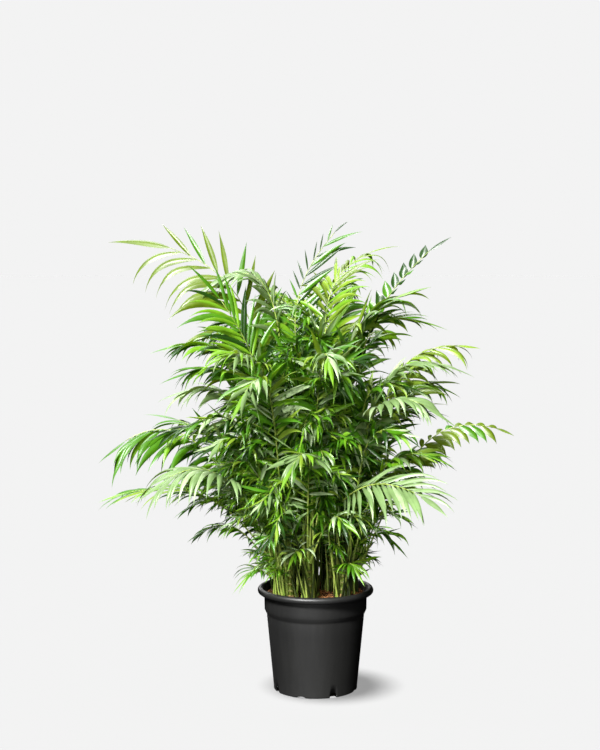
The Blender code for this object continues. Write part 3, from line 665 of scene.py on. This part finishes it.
# Each frond's leaflets are dealt out of its family's greens, by their numbers in the list above. The families
# paint light and shade: dark and deep give painted shade to fronds in shade, mint and front give painted
# sheen and light to fronds that face the light, and inner mixes painted shade and sheen.
FAMILIES = {
    "bright": (3, 4, 2, 3),
    "olive": (4, 4, 1, 4),
    "mint": (5, 5, 6, 5, 5),
    "dark": (1, 0, 1, 2),
    "deep": (0, 1, 0),
    "mid": (2, 1, 3, 2, 5, 1),
    "front": (2, 5, 3, 6, 1, 5),
    "inner": (0, 1, 2, 3, 5, 0, 1, 6),
}
# Fronds by family: the deep and dark ones get painted shade, the mint and front ones painted sheen and light
TINTS = {
    "bright": (12, 17, 19, 22),
    "olive": (1, 20),
    "mint": (3, 6, 9, 23, 18, 24),
    "front": (15, 25, 26, 27, 28, 14, 32),
    "deep": (11, 13),
    "dark": (2, 4, 5, 7, 10, 34, 37, 39, 41, 45),
}
FROND_GROUPS = {
    "left": range(1, 11),
    "top": (11, 12, 13, 14, 42, 43, 44),
    "right": range(15, 23),
    "front": range(23, 33),
    "back": range(33, 42),
    "low_back": (45,),
}


# Young stems that stand in the mix round the canes, each with a small frond in or round the crown.
# A zone's pairs are the least and the most: azimuths of the tips, heights, how far out they are, bare shares
# of the stems, and longest leaflets. shaded is the share of its stems that have the darker green, which is
# painted shade.
Zone = namedtuple("Zone", "name count azimuths heights reaches bare leaves families shaded")
# DIM and DEEP deal out greens of painted shade; FORE and LEAFY also deal the painted sheen and light of the
# front family
DIM, FORE, LEAFY, DEEP = ("dark", "inner"), ("front", "inner"), ("mid", "front"), ("deep", "dark")
SHOOT_ZONES = (
    Zone("inner", 140, (0, 360), (0.34, 0.63), (0.02, 0.180), (0.36, 0.68), (0.045, 0.095), DIM, 0.6),
    Zone("fore", 24, (228, 296), (0.42, 0.60), (0.02, 0.130), (0.60, 0.78), (0.045, 0.080), FORE, 0.1),
    Zone("left", 48, (165, 240), (0.31, 0.43), (0.08, 0.185), (0.25, 0.50), (0.032, 0.056), LEAFY, 0.5),
    Zone("right", 12, (290, 360), (0.27, 0.37), (0.07, 0.110), (0.30, 0.50), (0.034, 0.055), DIM, 0.5),
    Zone("rim", 9, (178, 222), (0.215, 0.26), (0.085, 0.120), (0.30, 0.45), (0.032, 0.046), LEAFY, 0.5),
    # Dark shoots behind the canes: painted shade that fills the gaps between the stems
    Zone("behind", 52, (15, 165), (0.235, 0.41), (0.01, 0.140), (0.12, 0.40), (0.050, 0.085), DEEP, 0.8),
)
SHOOT_CLEAR = (0.007, 0.016)  # from a cane's middle to the shoots round it
SHOOT_WANDER = 12  # degrees to either side of its place among the zone's azimuths
SHOOT_NEAREST = 4  # canes, one of which the stem stands by
SHOOT_DROOP = (-20, 45)
SHOOT_ROLL = (-40, 40)
SHOOT_LEAN = (-5, 24)
# The crown is slimmer on the right: an inner frond heading further that way than SLIM_SIDE reaches less far
SLIM_SIDE = 0.4
SLIM_SHARE = 0.6
SHOOT_SEED = 11
GOLDEN_SHARE = 0.618034  # of a zone's angle, from one shoot to the next


def family_of(number):
    return next((name for name, numbers in TINTS.items() if number in numbers), "mid")


def build_foliage():
    """All fronds in joined groups, leaves and stems apart."""
    leaf_materials = []
    for name, colour in GREENS:
        glow = [min(1, part * gain + lift) for part, gain, lift in zip(colour, GLOW_GAIN, GLOW_LIFT)]
        leaf_materials.append(leaf_material(name, colour, glow))
    stem_materials = [
        stem_material("stem_green", srgb(74, 98, 24), srgb(150, 164, 78)),
        # A darker copy of the stem green: painted shade for the stems inside and behind the crown
        stem_material("stem_shaded", srgb(16, 24, 5), srgb(48, 60, 16)),
    ]
    build_fronds(leaf_materials, stem_materials)
    build_shoots(leaf_materials, stem_materials)


def build_fronds(leaf_materials, stem_materials):
    for group, numbers in FROND_GROUPS.items():
        leaves, stems = Skin(), Skin()
        for number in numbers:
            frond = FRONDS[number - 1]
            shades = FAMILIES[family_of(number)]
            rib = Rib(frond, frond_foot(frond), spread(frond) * LEAN_SHARE)
            grow_frond((leaves, stems), rib, STYLES.get(number, PLAIN), number - 1, shades)
            if number in TWINS:
                twin = TWINS[number]
                branch = Rib(twin, rib.fork(twin), spread(twin) * LEAN_SHARE)
                grow_frond((leaves, stems), branch, INNER, number - 1 + TWIN_SEED, FAMILIES["inner"])
        nodes = [f"frond_{number:02d}" for number in numbers]
        leaves.piece("leaflets_" + group, leaf_materials, "frond", nodes)
        stems.piece("ribs_" + group, stem_materials[:1], "frond", nodes)


def build_shoots(leaf_materials, stem_materials):
    for zone in SHOOT_ZONES:
        leaves, stems = Skin(), Skin()
        chance = random.Random(SHOOT_SEED)
        for i in range(zone.count):
            grow_shoot((leaves, stems), zone, i, chance)
        leaves.piece(f"shoot_leaflets_{zone.name}", leaf_materials, "frond")
        stems.piece(f"shoot_stems_{zone.name}", stem_materials, "frond")


def grow_shoot(skins, zone, number, chance):
    """A slender stem out of the mix that leans out a little and ends in a small frond."""
    azimuth = mix(zone.azimuths, number * GOLDEN_SHARE % 1) + chance.uniform(-SHOOT_WANDER, SHOOT_WANDER)
    near = sorted(CANES, key=lambda cane: (heading(cane.azimuth) - heading(azimuth)).length)
    cane = near[int(chance.random() * SHOOT_NEAREST)]
    foot = cane_centre(cane, 0) + heading(chance.uniform(0, 360)) * mix(SHOOT_CLEAR, chance.random())
    foot.z = SOIL_Z
    height = mix(zone.heights, chance.random())
    leaf = mix(zone.leaves, chance.random())
    reach = mix(zone.reaches, math.sqrt(chance.random()))
    if zone.name == "inner" and heading(azimuth).x > SLIM_SIDE:
        reach *= SLIM_SHARE
    droop, roll = chance.uniform(*SHOOT_DROOP), chance.uniform(*SHOOT_ROLL)
    frond = Frond(0, azimuth, reach, height, droop, leaf, roll=roll)
    rib = Rib(frond, foot, math.radians(chance.uniform(*SHOOT_LEAN)))
    shades = FAMILIES[chance.choice(zone.families)]
    bare = mix(zone.bare, chance.random())
    stem_shade = int(chance.random() < zone.shaded)
    grow_frond(skins, rib, SHOOT, SHOOT_SEED + number, shades, bare, sheath=0, stem_shade=stem_shade)


# Canes
CANE_FOOT = ((0, 0.0026), (0.003, 0.0013), (0.0065, 0.0004))  # heights, and how far the flare stands out
RING_FIRST = 0.014
RING_STEP = 0.0125  # from one leaf scar to the next
RING_HALF = 0.0009
RING_STAND = 0.0007
RING_CLEAR = 0.004  # between the last ring and the cane's top
CANE_SIDES = 20
CANE_GREEN, CANE_SCAR, CANE_BARK = range(3)  # the order of the canes' materials
# A ring's profile: half rings up, share of the stand, and the material above
RING_PROFILE = ((-2, 0, CANE_GREEN), (-1, 1, CANE_SCAR), (1, 1, CANE_SCAR), (2, 0, CANE_GREEN))


def build_canes():
    """Green ringed canes on a flared foot, with a pale scar at every ring."""
    green = stem_material("cane_green", srgb(38, 54, 12), srgb(92, 106, 34))
    scar = bark_material("cane_scar", srgb(72, 74, 30), srgb(118, 116, 58))
    foot = bark_material("cane_foot", srgb(70, 52, 26), srgb(128, 104, 54))
    skin = Skin()
    for cane in CANES:
        rings = [(*level, CANE_BARK) for level in CANE_FOOT[:-1]] + [(*CANE_FOOT[-1], CANE_GREEN)]
        height = RING_FIRST
        while height < cane.height - RING_CLEAR:
            for step, stand, shade in RING_PROFILE:
                rings.append((height + step * RING_HALF, RING_STAND * stand, shade))
            height += RING_STEP
        rings.append((cane.height, 0, CANE_GREEN))
        add_cane(skin, cane, rings)
    names = [f"cane_{i + 1:02d}" for i in range(len(CANES))]
    skin.piece("canes", [green, scar, foot], "cane", names)


def add_cane(skin, cane, rings):
    """A cane through rings: the height of each, how far it stands out, and the material above it."""
    turns = [heading(k * 360 / CANE_SIDES) for k in range(CANE_SIDES)]
    rows = []
    for height, stand, _ in rings:
        radius = cane_radius(cane, height) + stand
        rows.append([cane_centre(cane, height) + turn * radius for turn in turns])
    first = len(skin.faces)
    skin.grid(rows, closed=True, start=cane_centre(cane, 0), end=cane_centre(cane, cane.height))
    for i, (_, _, shade) in enumerate(rings[:-1]):
        start = first + i * CANE_SIDES
        skin.shades[start:start + CANE_SIDES] = [shade] * CANE_SIDES


# Pot
POT_SIDES = 160
POT_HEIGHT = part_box("pot")[1].z
LIP_RADIUS = 0.105
LIP_ARC = (96, -62)  # degrees, from the mouth's side over the lip to its underside
LIP_POINTS = 16
FOOT_RADIUS = 0.0759
FOOT_EDGE = 0.0025  # radius of the foot's rounded edge
FOOT_POINTS = 6
SHOULDER = (0.0882, 0.139)  # radius and height of the step out of the tapered body
NECK = (0.0926, 0.1465)
LIP_UNDER = 0.1755
LIP_MOUTH = 0.0955
MOUTH_FOOT = 0.1765  # the height inside from which the wall turns in towards the mouth
# The profile's small roundings: how far out and up each point is from its corner
MOUTH_ROUND = ((-0.0012, -0.0040), (0, -0.0016), (0.0012, -0.0006))
LIP_ROOT = ((0.0020, -0.0002), (0.0004, -0.0016), (0.0004, -0.0040))
NECK_FOOT = ((0, 0.0012), (-0.0003, 0.0002))
STEP_ROUND = ((0.0011, 0.0011), (0.0002, -0.0002), (-0.0002, -0.0022), (0, -0.0040))
NECK_POINTS = 5
BODY_POINTS = 7
WALL = 0.0018
FLOOR = 0.0025
FLOOR_CORNER = (0.004, 0.003)  # how far in and up the slope between the floor and the wall goes
POT_MIDDLE = 0.001  # the profile ends this far from the axis
WELD = 0.00001
ARCH_COUNT = 8
ARCH_FIRST = -65.4
ARCH_SIZES = ((0.0072, 0.0100), (0.0085, 0.0032))  # half width and height, high and low by turns
ARCH_INNER = 0.058
ARCH_SIDES = 32


def arc(centre, radius, start, end, count):
    angles = [math.radians(start + (end - start) * i / (count - 1)) for i in range(count)]
    return [(centre[0] + radius * math.cos(a), centre[1] + radius * math.sin(a)) for a in angles]


def straight(start, end, count):
    """Evenly spaced points from one to the other."""
    return [tuple(mix(ends, i / (count - 1)) for ends in zip(start, end)) for i in range(count)]


def round_corner(corner, offsets):
    return [(corner[0] + out, corner[1] + up) for out, up in offsets]


def pot_profile():
    """Radius and height down the outside from the mouth, across the underside, and back up the inside."""
    lip = (POT_HEIGHT - LIP_UNDER) / 2
    *mouth, mouth_top = round_corner((LIP_MOUTH, POT_HEIGHT), MOUTH_ROUND)
    *lip_root, neck_top = round_corner((NECK[0], LIP_UNDER), LIP_ROOT)
    neck_end, step_top = round_corner(NECK, NECK_FOOT)
    *step, body_top = round_corner(SHOULDER, STEP_ROUND)
    outside = [mouth_top, *arc((LIP_RADIUS - lip, POT_HEIGHT - lip), lip, *LIP_ARC, LIP_POINTS), *lip_root]
    outside += [*straight(neck_top, neck_end, NECK_POINTS), step_top, *step]
    outside += straight(body_top, (FOOT_RADIUS, FOOT_EDGE * 2), BODY_POINTS)
    outside += arc((FOOT_RADIUS - FOOT_EDGE, FOOT_EDGE), FOOT_EDGE, 0, -90, FOOT_POINTS)
    underside = [(ARCH_INNER, 0), (POT_MIDDLE, 0), (POT_MIDDLE, FLOOR), (ARCH_INNER, FLOOR)]
    inside = [(FOOT_RADIUS - FLOOR_CORNER[0], FLOOR), (FOOT_RADIUS - WALL, FLOOR + FLOOR_CORNER[1])]
    inside += [(radius - WALL, height) for radius, height in (SHOULDER, NECK, (NECK[0], MOUTH_FOOT))]
    return outside + underside + inside + mouth


def face_outwards(bm):
    bm.normal_update()
    bmesh.ops.recalc_face_normals(bm, faces=bm.faces)


def build_pot():
    """The moulded pot with its drain arches cut in the foot."""
    skin = Skin()
    turns = [heading(k * 360 / POT_SIDES) for k in range(POT_SIDES)]
    rows = [[turn * radius + Vector((0, 0, z)) for turn in turns] for radius, z in pot_profile()]
    rows.append(rows[0])
    skin.grid(rows, closed=True)
    pot = skin.piece("nursery_pot", [plastic_material()], "pot", ["pot"])
    bm = bmesh.new()
    bm.from_mesh(pot.data)
    bmesh.ops.remove_doubles(bm, verts=bm.verts, dist=WELD)
    face_outwards(bm)
    bm.to_mesh(pot.data)
    bm.free()
    cutters = bpy.data.collections.new("cutters")
    bpy.context.scene.collection.children.link(cutters)
    for i in range(ARCH_COUNT):
        add_arch(cutters, ARCH_FIRST + i * 360 / ARCH_COUNT, *ARCH_SIZES[i % 2])
    cut = pot.modifiers.new("arches", "BOOLEAN")
    cut.operand_type = "COLLECTION"
    cut.collection = cutters
    apply_modifiers(pot)
    for cutter in list(cutters.objects):
        bpy.data.objects.remove(cutter)
    bpy.data.collections.remove(cutters)
    return pot


def apply_modifiers(obj):
    bpy.context.view_layer.update()
    graph = bpy.context.evaluated_depsgraph_get()
    mesh = bpy.data.meshes.new_from_object(obj.evaluated_get(graph))
    obj.modifiers.clear()
    obj.data = mesh


def add_arch(cutters, azimuth, half_width, height):
    """A lying cylinder, flattened to the arch's height, across the foot of the wall."""
    bm = bmesh.new()
    length = LIP_RADIUS - ARCH_INNER
    bmesh.ops.create_cone(bm, cap_ends=True, segments=ARCH_SIDES, radius1=1, radius2=1, depth=length)
    out, across = heading(azimuth), heading(azimuth + 90)
    for vert in bm.verts:
        along = vert.co.z + ARCH_INNER + length / 2
        vert.co = out * along + across * (vert.co.x * half_width) + Vector((0, 0, vert.co.y * height))
    face_outwards(bm)
    mesh = bpy.data.meshes.new("arch")
    bm.to_mesh(mesh)
    bm.free()
    cutters.objects.link(bpy.data.objects.new("arch", mesh))


# Potting mix
MIX_RADIUS = 0.0904
MIX_CENTRE = 0.0006  # radius of the innermost ring
MIX_RINGS = 44
MIX_TURNS = 140
MIX_PLAY = 0.0005  # between the mix and the wall, from the shoulder up
MIX_SINK = 0.0008  # how far under the solid's top the mix's edge lies
MIX_MOUND = 0.0012
MIX_EDGE = 0.02  # how wide the edge is that the lumps die out over
MIX_ROUGH = 0.0006
LUMP_HEIGHT = 0.0013
PEBBLE_HEIGHT = 0.0008
MIX_BROWN, MIX_SHADED = range(2)  # the order of the bed's materials
CHIPS = 900
CHIP_MARGIN = 0.004  # from the edge of the mix
CHIP_LIFT = 0.0004
CHIP_TILT = (-0.5, 0.5)
CHIP_HALF = (0.0012, 0.0036)
CHIP_HALF_WIDTH = (0.0008, 0.0019)
CHIP_HALF_THICK = (0.0004, 0.0010)
CHIP_OUTLINE = ((1, 0), (0.4, 1), (-0.7, 0.9), (-1, 0), (-0.2, -1), (0.6, -1))  # half lengths, half widths
CHIP_LAYERS = ((0.75, -1), (1, 0), (0.7, 1))  # share of the outline, and half thicknesses up
CHIP_SHADES = (0, 1, 1, 2)
FIBRES = 700
FIBRE_LIFT = 0.0002
FIBRE_HALF = (0.003, 0.009)
FIBRE_BOW = 0.002  # sideways
FIBRE_RISE = (0, 0.003)
FIBRE_RADII = (0.0001, 0.0003, 0.00035, 0.0003, 0.0001)
FIBRE_SIDES = 5
FIBRE_MARGIN = 0.002
FIBRE_SHADES = (0, 1, 2, 2)
MIX_SEED = 5


def mix_height(x, y):
    """The uneven top of the mix: a slight mound with hollows and lumps, from waves in radians a metre."""
    lumps = LUMP_HEIGHT * math.sin(x * 170 + 1.3) * math.sin(y * 150 + 0.4)
    lumps += PEBBLE_HEIGHT * math.sin(x * 410 + y * 160) * math.sin(y * 390 - x * 120 + 2)
    inwards = max(0, min(1, (MIX_RADIUS - math.hypot(x, y)) / MIX_EDGE))
    return SOIL_Z - MIX_SINK + (lumps + MIX_MOUND) * inwards


def build_mix():
    """The bed of mix inside the pot, its crumbly top, and the chips and fibres that lie on it."""
    skin = Skin()
    chance = random.Random(MIX_SEED)
    turns = [heading(k * 360 / MIX_TURNS) for k in range(MIX_TURNS)]
    low = FLOOR + SEAT_GAP
    sides = [(FOOT_RADIUS - WALL, low)]
    sides += [(radius - WALL - MIX_PLAY, height) for radius, height in (SHOULDER, NECK)]
    rows = [[turn * radius + Vector((0, 0, z)) for turn in turns] for radius, z in sides]
    for i in range(MIX_RINGS + 1):
        row = []
        for turn in turns:
            spot = turn * (MIX_RADIUS * (1 - i / MIX_RINGS) + MIX_CENTRE)
            rough = chance.uniform(-MIX_ROUGH, MIX_ROUGH) if i else 0
            row.append((spot.x, spot.y, mix_height(spot.x, spot.y) + rough))
        rows.append(row)
    skin.grid(rows, MIX_BROWN, closed=True, start=(0, 0, low), end=(0, 0, mix_height(0, 0)))
    # The bed's sides and underside take a near-black brown: painted shade inside the pot, seen through the
    # arches
    skin.shades[:len(sides) * MIX_TURNS] = [MIX_SHADED] * len(sides) * MIX_TURNS
    # The underside's faces come last but for the middle of the top
    skin.shades[-MIX_TURNS * 2:-MIX_TURNS] = [MIX_SHADED] * MIX_TURNS
    shaded = bark_material("potting_mix_inside", srgb(8, 6, 4), srgb(18, 12, 8))
    skin.piece("mix_bed", [mix_material(), shaded], "potting_mix", ["potting_mix"])
    bark = [
        bark_material("chip_dark", srgb(38, 22, 12), srgb(74, 46, 26)),
        bark_material("chip_brown", srgb(86, 52, 26), srgb(132, 84, 44)),
        bark_material("chip_tan", srgb(118, 74, 34), srgb(164, 112, 60)),
    ]
    chips, fibres = Skin(), Skin()
    for _ in range(CHIPS):
        add_chip(chips, chance)
    for _ in range(FIBRES):
        add_fibre(fibres, chance)
    chips.piece("mix_chips", bark, "potting_mix")
    fibres.piece("mix_fibres", bark, "potting_mix")


def mix_spot(chance):
    radius = (MIX_RADIUS - CHIP_MARGIN) * math.sqrt(chance.random())
    spot = heading(chance.uniform(0, 360)) * radius
    return Vector((spot.x, spot.y, mix_height(spot.x, spot.y)))


def add_chip(skin, chance):
    """A flake of coir husk, thicker in its middle, lying at a slant in the mix."""
    centre = mix_spot(chance) + Vector((0, 0, CHIP_LIFT))
    turn, tilt = heading(chance.uniform(0, 360)), chance.uniform(*CHIP_TILT)
    along = (turn + Vector((0, 0, tilt))).normalized() * chance.uniform(*CHIP_HALF)
    across = turn.cross(Vector((0, 0, 1))) * chance.uniform(*CHIP_HALF_WIDTH)
    thick = Vector((0, 0, chance.uniform(*CHIP_HALF_THICK)))
    ring = [along * ahead + across * aside for ahead, aside in CHIP_OUTLINE]
    rows = [[centre + p * share + thick * rise for p in ring] for share, rise in CHIP_LAYERS]
    skin.grid(rows, chance.choice(CHIP_SHADES), closed=True, start=centre - thick, end=centre + thick)


def add_fibre(skin, chance):
    """A bent strand of coir."""
    centre = mix_spot(chance) + Vector((0, 0, FIBRE_LIFT))
    along = heading(chance.uniform(0, 360)) * chance.uniform(*FIBRE_HALF)
    bow = heading(chance.uniform(0, 360)) * FIBRE_BOW + Vector((0, 0, chance.uniform(*FIBRE_RISE)))
    points = [centre + along * s + bow * (1 - s * s) for s in np.linspace(-1, 1, len(FIBRE_RADII))]
    if all(math.hypot(p.x, p.y) < MIX_RADIUS - FIBRE_MARGIN for p in points):
        skin.tube(points, FIBRE_RADII, FIBRE_SIDES, chance.choice(FIBRE_SHADES))


# Stage, light and camera
FLOOR_SIZE = 120
FLOOR_ALBEDO = 0.10
BACKDROP = 0.896  # the photograph's background
ROOM_LIGHT = 0.13
# A distant light's strength, the turn of its object and how wide it looks, both in degrees
Light = namedtuple("Light", "strength turn width")
KEY = Light(14.0, (46, 0, -28), 14)  # from above, in front and to the left
FRONT = Light(2.8, (72, 0, -8), 40)  # low from the front, into the crown
BACK = Light(2.6, (50, 0, -160), 45)  # from above and behind, through the leaves
SIDE = Light(18, (10, 0, -62), 21)  # on the floor alone, which only the pot shades
BOUNCE = Light(0.6, (128, 0, -15), 70)  # off the floor, up at the pot
BACKDROP_RADIUS = 45
BACKDROP_DETAIL = 4
CAMERA_PLACE = (-0.0282, -2.8, 0.797)
CAMERA_TILT = 0.0802  # downwards, in radians
CAMERA_LENS = 75.05


def collection_of(name, *objs):
    """A collection outside the scene, which says what a light reaches or what stops it."""
    made = bpy.data.collections.new(name)
    for obj in objs:
        made.objects.link(obj)
    return made


def add_light(name, light, reaches, stopped_by=None, glossy=True):
    sun = bpy.data.lights.new(name, "SUN")
    sun.energy = light.strength
    sun.angle = math.radians(light.width)
    lamp = bpy.data.objects.new(name, sun)
    lamp.rotation_euler = [math.radians(part) for part in light.turn]
    bpy.context.scene.collection.objects.link(lamp)
    lamp.light_linking.receiver_collection = reaches
    lamp.visible_glossy = glossy
    if stopped_by:
        lamp.light_linking.blocker_collection = stopped_by


def build_backdrop():
    """A white floor and a dome round it, which the camera sees evenly lit. Returns the floor."""
    half = FLOOR_SIZE / 2
    corners = [(-half, -half, 0), (half, -half, 0), (half, half, 0), (-half, half, 0)]
    floor_mesh = bpy.data.meshes.new("studio_floor")
    floor_mesh.from_pydata(corners, [], [(0, 1, 2, 3)])
    floor_mesh.materials.append(floor_material())
    bm = bmesh.new()
    bmesh.ops.create_icosphere(bm, subdivisions=BACKDROP_DETAIL, radius=BACKDROP_RADIUS)
    dome_mesh = bpy.data.meshes.new("studio_backdrop")
    bm.to_mesh(dome_mesh)
    bm.free()
    dome_mesh.materials.append(backdrop_material())
    floor, dome = [bpy.data.objects.new(mesh.name, mesh) for mesh in (floor_mesh, dome_mesh)]
    for obj in (floor, dome):
        bpy.context.scene.collection.objects.link(obj)
        obj.visible_diffuse = obj.visible_glossy = obj.visible_transmission = False
    dome.visible_shadow = False
    return floor


def build_world():
    """Even light from all round, which doesn't show in the leaves' gloss."""
    world = bpy.data.worlds.new("studio")
    world.use_nodes = True
    background = world.node_tree.nodes["Background"]
    background.inputs["Strength"].default_value = ROOM_LIGHT
    background.inputs["Color"].default_value = (1, 1, 1, 1)
    bpy.context.scene.world = world
    world.cycles_visibility.glossy = False


def build_lights(floor, pot):
    """Lights on the plant from above, in front and behind, and two for the floor and the pot alone."""
    ground = collection_of("ground", floor)
    plant = collection_of("plant", *[o for o in bpy.data.objects if "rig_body" in o and not o.hide_render])
    pot_alone = collection_of("pot", pot)
    add_light("key", KEY, plant)
    add_light("back", BACK, plant)
    add_light("front", FRONT, plant, glossy=False)
    add_light("side", SIDE, ground, stopped_by=pot_alone)
    add_light("bounce", BOUNCE, pot_alone, stopped_by=pot_alone)
    bpy.context.scene.view_settings.view_transform = "Standard"


def build_camera():
    camera = bpy.data.cameras.new("camera")
    camera.lens = CAMERA_LENS
    obj = bpy.data.objects.new("camera", camera)
    obj.location = CAMERA_PLACE
    obj.rotation_euler = (math.pi / 2 - CAMERA_TILT, 0, 0)
    bpy.context.scene.collection.objects.link(obj)
    bpy.context.scene.camera = obj


build_camera()
pot = build_pot()
build_mix()
build_canes()
build_foliage()
build_world()
build_lights(build_backdrop(), pot)
